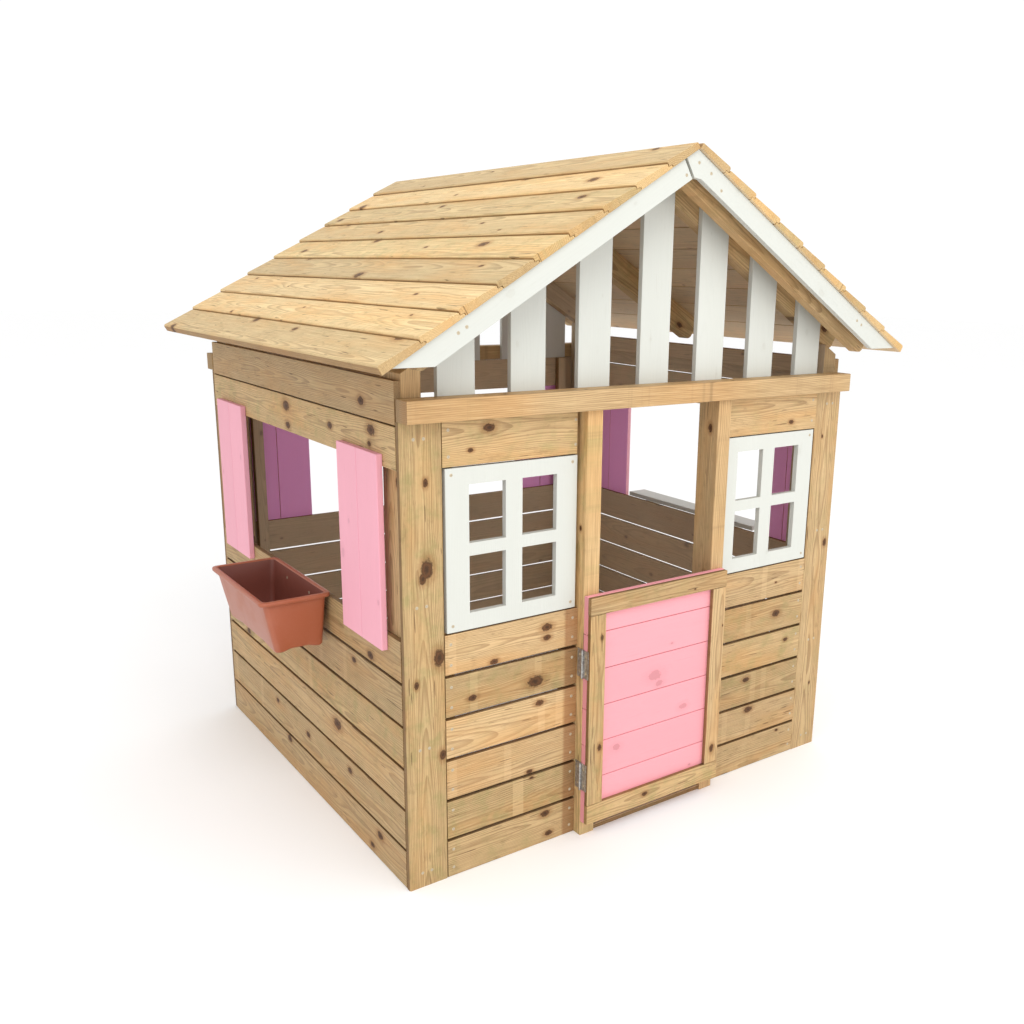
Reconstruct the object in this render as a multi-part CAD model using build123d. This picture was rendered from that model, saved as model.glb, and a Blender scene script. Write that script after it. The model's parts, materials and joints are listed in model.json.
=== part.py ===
"""Wooden garden playhouse with a half door, slatted gables, shutters and a hanging planter.

The house is laid out from the outer face of its left wall (x = 0), the outer face of its front
posts (y = 0) and the ground (z = 0), with x to the right, y to the back and z up.  The finished
pieces are then moved so that the origin is the middle of the house's footprint, on the ground.
"""

from build123d import *
import math
import os

# ---- Driving dimensions, in millimetres ----------------------------------------------------------

HOUSE_WIDTH = 1310.0
HOUSE_DEPTH = 1188.0
FIT = 0.3

BOARD_THICK = 14.0
BOARD_ROUND = 2.0
ROW_PITCH = 97.5
ROW_GAP = 6.5
UPPER_ROW_GAP = 2.5
FIRST_GAP_HEIGHT = 92.0
LOWER_ROWS = 6
OPENING_TOP = 936.5
WALL_TOP = 1116.0

POST_WIDTH = 95.0
POST_THICK = 16.0
POST_ROUND = 4.0
STUD_THICK = 45.0
STUD_DEPTH = 90.0
BATTEN_WIDTH = 30.0
BATTEN_THICK = 22.0

BEAM_BOTTOM = 1035.6
BEAM_HEIGHT = 45.7
BEAM_FRONT = -38.6
BEAM_BACK = 10.0
BEAM_SHORTFALL = 13.0

DOOR_LEFT = 442.0
JAMB_WIDTH = 42.0
UPPER_BOARD_GAP = 10.0
JAMB_FRONT = -25.0
JAMB_BACK = 45.0
DOORWAY_WIDTH = 351.0

WINDOW_WIDTH = 333.0
WINDOW_BOTTOM = 580.0
WINDOW_TOP = 934.0
WINDOW_BORDER = 55.5
WINDOW_RAIL = 37.0
WINDOW_MUNTIN = 42.0
WINDOW_BAR = 28.0
WINDOW_POST_GAP = 6.0

DOOR_WIDTH = 426.0
DOOR_BOTTOM = 39.0
DOOR_TOP = 611.0
DOOR_ROW_PITCH = 92.3
DOOR_ROW_GAP = 1.2
DOOR_STILE = 45.0
DOOR_TOP_RAIL = 43.0
DOOR_BOTTOM_RAIL = 50.0
DOOR_FRAME_THICK = 12.0
DOOR_JAMB_GAP = 0.5

HINGE_HEIGHT = 69.0
HINGE_BOTTOMS = (125.0, 411.0)
HINGE_LEAF = 18.0
HINGE_SHEET = 1.5
KNUCKLE_RADIUS = 3.0
PIN_RADIUS = 1.5
PIN_CLEARANCE = 0.05
KNUCKLES = 5

ROOF_SLOPE = 31.0
RIDGE_TOP = 1600.5
ROOF_HALF_WIDTH = 740.0
ROOF_FRONT = -116.0
ROOF_BACK_OVERHANG = 111.0
ROOF_ROWS = 9
ROOF_STEP = 6.0
ROOF_LAP = 10.0

BARGE_WIDTH = 46.0
BARGE_FRONT = -108.0
BARGE_THICK = 15.0
BARGE_FOOT = 1152.0
RAFTER_DEPTH = 60.0
RAFTER_THICK = 35.0
FLY_RAFTER_DEPTH = 55.0
FLY_RAFTER_THICK = 30.0
FLY_RAFTER_SETBACK = 30.0
MID_RAFTER_DEPTH = 71.0
RIDGE_BOARD_THICK = 20.0
RIDGE_BOARD_DEPTH = 90.0

SLAT_WIDTH = 88.0
SLAT_PITCH = 173.3
SLATS = 7

SHUTTER_WIDTH = 202.0
SHUTTER_GAP = 1.0
SHUTTER_BOTTOM = 542.0
SHUTTER_TOP = 963.0
SHUTTER_INSET = 75.0

SHELF_INSET = 297.0
SHELF_DEPTH = 68.0
SHELF_TOP = 590.0
BRACKET_DROP = 52.0
BRACKET_INSET = 90.0

PLANTER_START = 370.0
PLANTER_LENGTH = 365.0
PLANTER_REACH = 170.0
PLANTER_TOP = 590.0
PLANTER_BOTTOM = 458.0
PLANTER_WALL = 3.0
PLANTER_RIM = 9.0
PLANTER_TAPER = 18.0
PLANTER_SCREW_DROP = 28.0
PLANTER_SCREW_LENGTH = 26.0

SCREW_HEAD_RADIUS = 3.6
SCREW_HEAD_RISE = 0.8
SCREW_SHANK_RADIUS = 1.8
SCREW_LENGTH = 12.0
EDGE_MARGIN = 14.0
SCREW_INSET = 22.0

MIDDLE = HOUSE_WIDTH / 2
SLOPE_SIN = math.sin(math.radians(ROOF_SLOPE))
SLOPE_COS = math.cos(math.radians(ROOF_SLOPE))
SLOPE_TAN = SLOPE_SIN / SLOPE_COS
ROOF_UNDERSIDE = RIDGE_TOP - BOARD_THICK / SLOPE_COS
ROOF_BACK = HOUSE_DEPTH + ROOF_BACK_OVERHANG

parts = {}


# ---- Helpers -------------------------------------------------------------------------------------


def span(low, high):
    """The centre and the size of the box between two corners."""
    centre = tuple((a + b) / 2 for a, b in zip(low, high))
    size = tuple(b - a for a, b in zip(low, high))
    return centre, size


def block(low, high):
    """A square-edged box between two corners."""
    centre, size = span(low, high)
    return Pos(*centre) * Box(*size)


def timber(low, high, along, rounding=BOARD_ROUND):
    """A planed board between two corners, with its four long edges rounded."""
    centre, size = span(low, high)
    planes = {
        "x": (Plane(centre, x_dir=(0, 1, 0), z_dir=(1, 0, 0)), size[1], size[2], size[0]),
        "y": (Plane(centre, x_dir=(0, 0, 1), z_dir=(0, 1, 0)), size[2], size[0], size[1]),
        "z": (Plane(centre, x_dir=(1, 0, 0), z_dir=(0, 0, 1)), size[0], size[1], size[2]),
    }
    plane, across, through, length = planes[along]
    return extrude(plane * RectangleRounded(across, through, rounding), amount=length / 2, both=True)


def gable_prism(points, front, back):
    """A piece with the given outline in the x-z plane, running from front to back."""
    outline = Plane.XZ * make_face(Polyline(*points, close=True))
    return Pos(0, front, 0) * extrude(outline, amount=front - back)


def other_side(shape):
    """The same piece on the right-hand side of the house."""
    return mirror(shape, about=Plane(origin=(MIDDLE, 0, 0), z_dir=(1, 0, 0)))


def rear(shape):
    """The same piece at the back of the house."""
    return mirror(shape, about=Plane(origin=(0, HOUSE_DEPTH / 2, 0), z_dir=(0, 1, 0)))


def group(shapes):
    """Several loose solids kept together as one node."""
    solids = [solid for shape in shapes for solid in shape.solids()]
    return Compound(children=solids) if len(solids) > 1 else solids[0]


def row_heights(rows):
    """The bottom and top of each board in the lower part of a wall."""
    heights = []
    for row in range(rows):
        low = 0.0 if row == 0 else FIRST_GAP_HEIGHT + ROW_PITCH * (row - 1) + ROW_GAP / 2
        high = FIRST_GAP_HEIGHT + ROW_PITCH * row - ROW_GAP / 2
        heights.append((low, high))
    return heights


def underside(x, depth=0.0):
    """The height of a line parallel to the roof, the given depth below the roof boards."""
    return ROOF_UNDERSIDE - depth / SLOPE_COS - SLOPE_TAN * abs(x - MIDDLE)


def screw(point, outward, length=SCREW_LENGTH):
    """A wood screw: a low domed head and the shank down to the given depth below it."""
    plane = Plane(origin=point, z_dir=outward)
    shank = plane.offset(-length) * Circle(SCREW_SHANK_RADIUS)
    head = plane * Circle(SCREW_HEAD_RADIUS)
    dome = plane.offset(SCREW_HEAD_RISE) * Circle(SCREW_HEAD_RADIUS * 0.7)
    return extrude(shank, amount=length) + loft([head, dome])


def drilled(shape, screws):
    """The shape with a hole for every screw in the list."""
    for one in screws:
        shape = shape - one
    return group([shape])


# ---- Walls ---------------------------------------------------------------------------------------


def corner_post():
    return timber((0, 0, 0), (POST_WIDTH, POST_THICK, BEAM_BOTTOM - FIT), "z", POST_ROUND)


def corner_stud():
    """An upright inside the corner, its top cut to the slope of the gable rafter."""
    inner = BOARD_THICK + FIT
    outer = inner + STUD_THICK
    points = [
        (inner, 0),
        (outer, 0),
        (outer, underside(outer, RAFTER_DEPTH) - 3 * FIT),
        (inner, underside(inner, RAFTER_DEPTH) - 3 * FIT),
    ]
    return gable_prism(points, POST_THICK + FIT, POST_THICK + FIT + STUD_DEPTH)


def side_wall_lower():
    start = POST_THICK + FIT
    stop = HOUSE_DEPTH - start
    boards = []
    for low, high in row_heights(LOWER_ROWS):
        boards.append(timber((0, start, low), (BOARD_THICK, stop, high), "y"))
    return group(boards)


def side_wall_upper():
    """Two boards above the side opening."""
    start = POST_THICK + FIT
    stop = HOUSE_DEPTH - start
    middle = (OPENING_TOP + WALL_TOP - UPPER_ROW_GAP) / 2
    first = timber((0, start, OPENING_TOP), (BOARD_THICK, stop, middle), "y")
    second = timber((0, start, middle + UPPER_ROW_GAP), (BOARD_THICK, stop, WALL_TOP), "y")
    return group([first, second])


def cladding(left, right, heights):
    """Front or rear boards between two x positions, one for each pair of heights."""
    return group([timber((left, 0, low), (right, BOARD_THICK, high), "x") for low, high in heights])


def batten(left):
    """An upright behind the front or rear cladding that its boards are screwed to."""
    low = (left, BOARD_THICK + FIT, 0)
    high = (left + BATTEN_WIDTH, BOARD_THICK + FIT + BATTEN_THICK, BEAM_BOTTOM - FIT)
    return timber(low, high, "z")


def wall_plate():
    """A rail inside the top of a side wall, between the corner studs, that carries the rafters."""
    start = POST_THICK + FIT + STUD_DEPTH + FIT
    low = (BOARD_THICK + FIT, start, WALL_TOP - STUD_THICK)
    high = (BOARD_THICK + FIT + BATTEN_THICK, HOUSE_DEPTH - start, WALL_TOP)
    return timber(low, high, "y")


def beam():
    """The rail across the tops of the posts."""
    low = (0, BEAM_FRONT, BEAM_BOTTOM)
    high = (HOUSE_WIDTH - BEAM_SHORTFALL, BEAM_BACK, BEAM_BOTTOM + BEAM_HEIGHT)
    return timber(low, high, "x")


right_jamb_left = DOOR_LEFT + JAMB_WIDTH + DOORWAY_WIDTH
right_jamb_right = right_jamb_left + JAMB_WIDTH
left_bay = (POST_WIDTH + FIT, DOOR_LEFT - FIT)
right_bay = (right_jamb_right + FIT, HOUSE_WIDTH - POST_WIDTH - FIT)
back_bay = (POST_WIDTH + FIT, HOUSE_WIDTH - POST_WIDTH - FIT)
top_row = [(OPENING_TOP, BEAM_BOTTOM - FIT)]

parts["corner_post_front_left"] = corner_post()
parts["corner_post_front_right"] = other_side(corner_post())
parts["corner_post_rear_left"] = rear(corner_post())
parts["corner_post_rear_right"] = rear(other_side(corner_post()))
parts["corner_stud_front_left"] = corner_stud()
parts["corner_stud_front_right"] = other_side(corner_stud())
parts["corner_stud_rear_left"] = rear(corner_stud())
parts["corner_stud_rear_right"] = rear(other_side(corner_stud()))
parts["left_wall_lower_boards"] = side_wall_lower()
parts["left_wall_upper_boards"] = side_wall_upper()
parts["right_wall_lower_boards"] = other_side(side_wall_lower())
parts["right_wall_upper_boards"] = other_side(side_wall_upper())
parts["wall_plates"] = group([wall_plate(), other_side(wall_plate())])
parts["front_lower_boards_left"] = cladding(*left_bay, row_heights(LOWER_ROWS))
parts["front_lower_boards_right"] = cladding(*right_bay, row_heights(LOWER_ROWS))
parts["front_upper_boards"] = group(
    [cladding(left_bay[0], DOOR_LEFT - UPPER_BOARD_GAP, top_row), cladding(*right_bay, top_row)]
)
parts["rear_lower_boards"] = rear(cladding(*back_bay, row_heights(LOWER_ROWS)))
parts["rear_upper_board"] = rear(cladding(*back_bay, top_row))
parts["front_beam"] = beam()
parts["rear_beam"] = rear(beam())

front_battens = [
    batten(left_bay[0]),
    batten(left_bay[1] - BATTEN_WIDTH),
    batten(right_bay[0]),
    batten(right_bay[1] - BATTEN_WIDTH),
]
rear_battens = [batten(back_bay[0]), batten(back_bay[1] - BATTEN_WIDTH)]
parts["wall_battens"] = group(front_battens + [rear(one) for one in rear_battens])


# ---- Doorway -------------------------------------------------------------------------------------


def jamb(left):
    """A door jamb, set on edge and standing proud of the front."""
    low = (left, JAMB_FRONT, 0)
    high = (left + JAMB_WIDTH, JAMB_BACK, BEAM_BOTTOM - FIT)
    return timber(low, high, "z")


threshold_low = (DOOR_LEFT + JAMB_WIDTH + FIT, JAMB_FRONT + 5, 0)
threshold_high = (right_jamb_left - FIT, JAMB_BACK, 12)
parts["door_jamb_left"] = jamb(DOOR_LEFT)
parts["door_jamb_right"] = jamb(right_jamb_left)
parts["threshold"] = timber(threshold_low, threshold_high, "x")


# ---- Windows -------------------------------------------------------------------------------------


def window(left):
    """A four-light window frame cut from one board, the same thickness as the cladding."""
    right = left + WINDOW_WIDTH
    frame = timber((left, 0, WINDOW_BOTTOM), (right, BOARD_THICK, WINDOW_TOP), "z")
    light_width = (WINDOW_WIDTH - 2 * WINDOW_BORDER - WINDOW_MUNTIN) / 2
    light_height = (WINDOW_TOP - WINDOW_BOTTOM - 2 * WINDOW_RAIL - WINDOW_BAR) / 2
    for column in range(2):
        for row in range(2):
            x = left + WINDOW_BORDER + column * (light_width + WINDOW_MUNTIN)
            z = WINDOW_BOTTOM + WINDOW_RAIL + row * (light_height + WINDOW_BAR)
            frame = frame - block((x, -1, z), (x + light_width, BOARD_THICK + 1, z + light_height))
    return frame


left_window_x = POST_WIDTH + WINDOW_POST_GAP
right_window_x = right_jamb_right + 2 * FIT


def window_screws(left):
    """Two screws in each side of a window frame."""
    columns = (left + EDGE_MARGIN, left + WINDOW_WIDTH - EDGE_MARGIN)
    rows = (WINDOW_BOTTOM + EDGE_MARGIN, WINDOW_TOP - EDGE_MARGIN)
    return [screw((x, 0, z), (0, -1, 0)) for x in columns for z in rows]


screws_left = window_screws(left_window_x)
screws_right = window_screws(right_window_x)
parts["window_left"] = drilled(window(left_window_x), screws_left)
parts["window_right"] = drilled(window(right_window_x), screws_right)


# ---- Gables and roof -----------------------------------------------------------------------------


def gable_slat(index):
    """One upright slat behind the beam, cut to the slope at its top."""
    centre = MIDDLE + index * SLAT_PITCH
    left = centre - SLAT_WIDTH / 2
    right = centre + SLAT_WIDTH / 2
    points = [(left, BEAM_BOTTOM + FIT), (right, BEAM_BOTTOM + FIT), (right, underside(right) - FIT)]
    if left < MIDDLE < right:
        points.append((MIDDLE, underside(MIDDLE) - FIT))
    points.append((left, underside(left) - FIT))
    return gable_prism(points, BEAM_BACK + FIT, BEAM_BACK + FIT + BOARD_THICK)


def rafter(foot, head, depth, front, thickness):
    """A rafter under the left slope, its lower end rounded off and its upper end plumb cut."""
    slope = Plane(origin=(foot, 0, underside(foot)), x_dir=(SLOPE_COS, 0, SLOPE_SIN), z_dir=(0, -1, 0))
    length = (head - foot) / SLOPE_COS + depth
    bar = slope * Pos(length / 2, -depth / 2 - FIT) * Rectangle(length, depth)
    solid = extrude(bar, amount=-thickness)
    foot_edge = solid.edges().filter_by(Axis.Y).sort_by(Axis.Z)[0]
    solid = fillet(foot_edge, depth * 0.25)
    beyond = block((head, -1, RIDGE_TOP - 400), (head + 400, thickness + 1, RIDGE_TOP + 400))
    return Pos(0, front, 0) * (solid - beyond)


def bargeboard_left():
    """The white board along the left slope, cut square at the top and level at the foot."""
    square_top = MIDDLE - 14.0
    square_rise = BARGE_WIDTH * SLOPE_SIN
    foot_outer = MIDDLE - (ROOF_UNDERSIDE - BARGE_FOOT) / SLOPE_TAN
    foot_inner = foot_outer + BARGE_WIDTH / SLOPE_SIN
    points = [
        (foot_outer, BARGE_FOOT),
        (foot_inner, BARGE_FOOT),
        (square_top, underside(square_top, BARGE_WIDTH)),
        (square_top - square_rise, underside(square_top - square_rise)),
    ]
    return Pos(0, 0, -FIT) * gable_prism(points, BARGE_FRONT, BARGE_FRONT + BARGE_THICK)


def bargeboard_right():
    """The board along the right slope, whose upper end fills the ridge beside the left one."""
    joint = MIDDLE - 8.0
    square_rise = BARGE_WIDTH * SLOPE_SIN
    foot_outer = MIDDLE + (ROOF_UNDERSIDE - BARGE_FOOT) / SLOPE_TAN
    foot_inner = foot_outer - BARGE_WIDTH / SLOPE_SIN
    points = [
        (foot_outer, BARGE_FOOT),
        (foot_inner, BARGE_FOOT),
        (MIDDLE + square_rise / 2, underside(MIDDLE + square_rise / 2, BARGE_WIDTH)),
        (joint, underside(joint, BARGE_WIDTH)),
        (joint - square_rise, underside(joint - square_rise)),
        (MIDDLE, ROOF_UNDERSIDE),
    ]
    return Pos(0, 0, -FIT) * gable_prism(points, BARGE_FRONT, BARGE_FRONT + BARGE_THICK)


def barge_screws():
    """Screws at the head and the foot of both bargeboards."""
    places = [(MIDDLE + 4, 22), (MIDDLE + 40, 20), (MIDDLE + 72, 32), (MIDDLE - 30, 32)]
    places += [(75, 20), (93, 20), (HOUSE_WIDTH - 75, 20), (HOUSE_WIDTH - 93, 20)]
    return [screw((x, BARGE_FRONT, underside(x, depth)), (0, -1, 0)) for x, depth in places]


def roof_board(row):
    """One lapped roof board of the left slope.

    Its top face rises towards its lower edge, so that each board steps down to the next, and a lip
    along its upper edge runs under the board above.
    """
    exposure = ROOF_HALF_WIDTH / SLOPE_COS / ROOF_ROWS
    lip = BOARD_THICK / 2
    upper = row * exposure + FIT
    lower = (row + 1) * exposure
    last = row == ROOF_ROWS - 1
    points = []
    if row == 0:
        points += [(upper, 0), (upper, BOARD_THICK)]
    else:
        points += [(upper - ROOF_LAP, 0), (upper - ROOF_LAP, lip - FIT)]
        points += [(upper, lip - FIT), (upper, BOARD_THICK)]
    points.append((lower, BOARD_THICK + ROOF_STEP))
    if last:
        points.append((lower, 0))
    else:
        points += [(lower, lip), (lower - ROOF_LAP, lip), (lower - ROOF_LAP, 0)]
    slope = Plane(
        origin=(MIDDLE, ROOF_FRONT, ROOF_UNDERSIDE),
        x_dir=(-SLOPE_COS, 0, -SLOPE_SIN),
        z_dir=(0, 1, 0),
    )
    profile = slope * make_face(Polyline(*points, close=True))
    board = extrude(profile, amount=ROOF_BACK - ROOF_FRONT)
    nose = board.edges().filter_by(Axis.Y).sort_by(lambda edge: drop(edge, lower))[0]
    return fillet(nose, ROOF_STEP)


def drop(edge, lower):
    """How far an edge lies from the top of a roof board's lower end."""
    x = MIDDLE - lower * SLOPE_COS - (BOARD_THICK + ROOF_STEP) * SLOPE_SIN
    z = ROOF_UNDERSIDE - lower * SLOPE_SIN + (BOARD_THICK + ROOF_STEP) * SLOPE_COS
    centre = edge.center()
    return math.hypot(centre.X - x, centre.Z - z)


def ridge_board(start):
    half = RIDGE_BOARD_THICK / 2
    top = underside(MIDDLE + half) - FIT
    low = (MIDDLE - half, start, top - RIDGE_BOARD_DEPTH)
    return timber(low, (MIDDLE + half, HOUSE_DEPTH - start, top), "y")


slats = [gable_slat(index - SLATS // 2) for index in range(SLATS)]
fly_front = BARGE_FRONT + BARGE_THICK + FLY_RAFTER_SETBACK
inner_front = BEAM_BACK + BOARD_THICK + 2 * FIT
mid_front = HOUSE_DEPTH / 2 - RAFTER_THICK / 2
fly_rafter = rafter(-14, MIDDLE - FIT, FLY_RAFTER_DEPTH, fly_front, FLY_RAFTER_THICK)
inner_rafter = rafter(0, MIDDLE - FIT, RAFTER_DEPTH, inner_front, RAFTER_THICK)
mid_head = MIDDLE - RIDGE_BOARD_THICK / 2 - FIT
mid_rafter = rafter(0, mid_head, MID_RAFTER_DEPTH, mid_front, RAFTER_THICK)
left_roof = group([roof_board(row) for row in range(ROOF_ROWS)])
front_barge_screws = barge_screws()

parts["gable_slats_front"] = group(slats)
parts["gable_slats_rear"] = rear(group(slats))
parts["bargeboard_front_left"] = drilled(bargeboard_left(), front_barge_screws)
parts["bargeboard_front_right"] = drilled(bargeboard_right(), front_barge_screws)
parts["bargeboard_rear_left"] = rear(bargeboard_left())
parts["bargeboard_rear_right"] = rear(bargeboard_right())
parts["fly_rafters_front"] = group([fly_rafter, other_side(fly_rafter)])
parts["fly_rafters_rear"] = rear(parts["fly_rafters_front"])
parts["gable_rafters_front"] = group([inner_rafter, other_side(inner_rafter)])
parts["gable_rafters_rear"] = rear(parts["gable_rafters_front"])
parts["middle_rafters"] = group([mid_rafter, other_side(mid_rafter)])
parts["ridge_board"] = ridge_board(inner_front + RAFTER_THICK + FIT)
parts["roof_boards_left"] = left_roof
parts["roof_boards_right"] = other_side(left_roof)


# ---- Shutters ------------------------------------------------------------------------------------


def shutter():
    """Two upright planks on the outside of the left wall, beside the front post."""
    plank = (SHUTTER_WIDTH - SHUTTER_GAP) / 2
    planks = []
    for start in (SHUTTER_INSET, SHUTTER_INSET + plank + SHUTTER_GAP):
        low = (-BOARD_THICK - FIT, start, SHUTTER_BOTTOM)
        high = (-FIT, start + plank, SHUTTER_TOP)
        planks.append(timber(low, high, "z"))
    return group(planks)


def rear_shutter():
    """The same pair of planks on the back wall, beside the left rear post."""
    plank = (SHUTTER_WIDTH - SHUTTER_GAP) / 2
    planks = []
    for start in (SHUTTER_INSET, SHUTTER_INSET + plank + SHUTTER_GAP):
        low = (start, HOUSE_DEPTH + FIT, SHUTTER_BOTTOM)
        high = (start + plank, HOUSE_DEPTH + FIT + BOARD_THICK, SHUTTER_TOP)
        planks.append(timber(low, high, "z"))
    return group(planks)


parts["shutter_left_wall_front"] = shutter()
parts["shutter_left_wall_rear"] = rear(shutter())
parts["shutter_right_wall_front"] = other_side(shutter())
parts["shutter_right_wall_rear"] = rear(other_side(shutter()))
parts["shutter_rear_wall_left"] = rear_shutter()
parts["shutter_rear_wall_right"] = other_side(rear_shutter())


# ---- Shelf ---------------------------------------------------------------------------------------


def shelf_bracket(start):
    """A tapering bracket under the shelf, its wide end against the right wall."""
    wall = HOUSE_WIDTH + FIT
    top = SHELF_TOP - BOARD_THICK - FIT
    points = [(wall, top), (wall, top - BRACKET_DROP), (wall + 14, top - BRACKET_DROP)]
    points += [(wall + SHELF_DEPTH - 10, top - 14), (wall + SHELF_DEPTH - 10, top)]
    return gable_prism(points, start, start + BOARD_THICK)


def side_shelf():
    """A board on two brackets outside the right wall's opening."""
    wall = HOUSE_WIDTH + FIT
    low = (wall, SHELF_INSET, SHELF_TOP - BOARD_THICK)
    high = (wall + SHELF_DEPTH, HOUSE_DEPTH - SHELF_INSET, SHELF_TOP)
    near = SHELF_INSET + BRACKET_INSET
    far = HOUSE_DEPTH - near - BOARD_THICK
    return group([timber(low, high, "y"), shelf_bracket(near), shelf_bracket(far)])


parts["side_shelf"] = side_shelf()


# ---- Planter -------------------------------------------------------------------------------------


def planter_layer(height, back, front, start, stop):
    """A rounded rectangle at one height, used to shape the tapering tub."""
    centre = ((back + front) / 2, (start + stop) / 2, height)
    return Plane(centre) * RectangleRounded(abs(front - back), stop - start, 10)


def planter():
    """A tapering open tub with a rolled rim, hung on the left wall."""
    stop = PLANTER_START + PLANTER_LENGTH
    taper = PLANTER_TAPER
    front = -PLANTER_REACH
    back = -FIT
    inset = PLANTER_RIM
    wall = PLANTER_WALL
    outer_top = planter_layer(PLANTER_TOP, back - inset, front + inset, PLANTER_START + inset, stop - inset)
    outer_low = planter_layer(
        PLANTER_BOTTOM, back - taper, front + 2 * taper, PLANTER_START + taper, stop - taper
    )
    inner_top = planter_layer(
        PLANTER_TOP + 1,
        back - inset - wall,
        front + inset + wall,
        PLANTER_START + inset + wall,
        stop - inset - wall,
    )
    inner_low = planter_layer(
        PLANTER_BOTTOM + wall,
        back - taper - wall,
        front + 2 * taper + wall,
        PLANTER_START + taper + wall,
        stop - taper - wall,
    )
    tub = loft([outer_low, outer_top])
    rim = planter_layer(PLANTER_TOP - PLANTER_RIM, back, front, PLANTER_START, stop)
    tub = tub + extrude(rim, amount=PLANTER_RIM)
    return tub - loft([inner_low, inner_top])


def planter_screw(share):
    """A screw through the back of the tub into the wall, at a share of the tub's length."""
    lean = (PLANTER_TAPER - PLANTER_RIM) * PLANTER_SCREW_DROP / (PLANTER_TOP - PLANTER_BOTTOM)
    x = -FIT - PLANTER_RIM - lean - PLANTER_WALL
    y = PLANTER_START + PLANTER_LENGTH * share
    return screw((x, y, PLANTER_TOP - PLANTER_SCREW_DROP), (-1, 0, 0), PLANTER_SCREW_LENGTH)


planter_screws = [planter_screw(share) for share in (0.3, 0.7)]


# ---- Half door and its hinges --------------------------------------------------------------------

door_right = DOOR_LEFT + DOOR_WIDTH
door_back = JAMB_FRONT - DOOR_JAMB_GAP
door_face = door_back - BOARD_THICK
frame_back = door_face - FIT
frame_face = frame_back - DOOR_FRAME_THICK
pin_x = DOOR_LEFT - KNUCKLE_RADIUS - 0.3
pin_y = JAMB_FRONT - DOOR_JAMB_GAP / 2


def door_boards():
    boards = []
    top = DOOR_TOP
    while top - DOOR_ROW_PITCH > DOOR_BOTTOM + DOOR_ROW_PITCH / 2:
        boards.append((top - DOOR_ROW_PITCH + DOOR_ROW_GAP, top))
        top -= DOOR_ROW_PITCH
    boards.append((DOOR_BOTTOM, top))
    return group(
        [timber((DOOR_LEFT, door_face, low), (door_right, door_back, high), "x") for low, high in boards]
    )


def door_rail(low, high):
    return timber((DOOR_LEFT, frame_face, low), (door_right, frame_back, high), "x")


def door_stile(left):
    low = (left, frame_face, DOOR_BOTTOM + DOOR_BOTTOM_RAIL + FIT)
    high = (left + DOOR_STILE, frame_back, DOOR_TOP - DOOR_TOP_RAIL - FIT)
    return timber(low, high, "z")


def knuckle(bottom, index):
    """One barrel of a hinge, with its bore for the pin."""
    pitch = HINGE_HEIGHT / KNUCKLES
    height = pitch - FIT
    place = Pos(pin_x, pin_y, bottom + pitch * (index + 0.5))
    return place * (Cylinder(KNUCKLE_RADIUS, height) - Cylinder(PIN_RADIUS + PIN_CLEARANCE, height))


def hinge_leaf(bottom, sign, knuckles):
    """A flat leaf with its barrels; sign is 1 for the leaf behind the pin and -1 for the one in front."""
    sheet_back = DOOR_LEFT - 0.1
    near = pin_y + sign * 0.8
    far = pin_y + sign * (KNUCKLE_RADIUS + HINGE_LEAF)
    root = pin_y + sign * (KNUCKLE_RADIUS + FIT)
    low = (sheet_back - HINGE_SHEET, min(root, far), bottom)
    leaf = block(low, (sheet_back, max(root, far), bottom + HINGE_HEIGHT))
    pitch = HINGE_HEIGHT / KNUCKLES
    bore = Pos(pin_x, pin_y, bottom + HINGE_HEIGHT / 2) * Cylinder(PIN_RADIUS + PIN_CLEARANCE, HINGE_HEIGHT)
    for index in knuckles:
        base = bottom + pitch * index + FIT / 2
        tongue_low = (sheet_back - HINGE_SHEET, min(near, root), base)
        tongue_high = (sheet_back, max(near, root), base + pitch - FIT)
        leaf = leaf + knuckle(bottom, index) + block(tongue_low, tongue_high)
    return leaf - bore


def hinge_pin(bottom):
    """A hinge pin with a low head at each end."""
    middle = bottom + HINGE_HEIGHT / 2
    pin = Pos(pin_x, pin_y, middle) * Cylinder(PIN_RADIUS, HINGE_HEIGHT + 2)
    for end in (bottom - 0.8, bottom + HINGE_HEIGHT + 0.8):
        pin = pin + Pos(pin_x, pin_y, end) * Cylinder(KNUCKLE_RADIUS * 0.8, 1.0)
    return pin


def hinge_screws(sign):
    """Two screws through one leaf of each hinge."""
    y = pin_y + sign * (KNUCKLE_RADIUS + HINGE_LEAF / 2)
    heights = [bottom + HINGE_HEIGHT * share for bottom in HINGE_BOTTOMS for share in (0.2, 0.8)]
    return [screw((DOOR_LEFT - 0.1 - HINGE_SHEET, y, z), (-1, 0, 0)) for z in heights]


fixed_knuckles = (0, 2, 4)
moving_knuckles = (1, 3)
fixed_screws = hinge_screws(1)
moving_screws = hinge_screws(-1)
fixed_leaves = [hinge_leaf(bottom, 1, fixed_knuckles) for bottom in HINGE_BOTTOMS]
moving_leaves = [hinge_leaf(bottom, -1, moving_knuckles) for bottom in HINGE_BOTTOMS]

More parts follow.
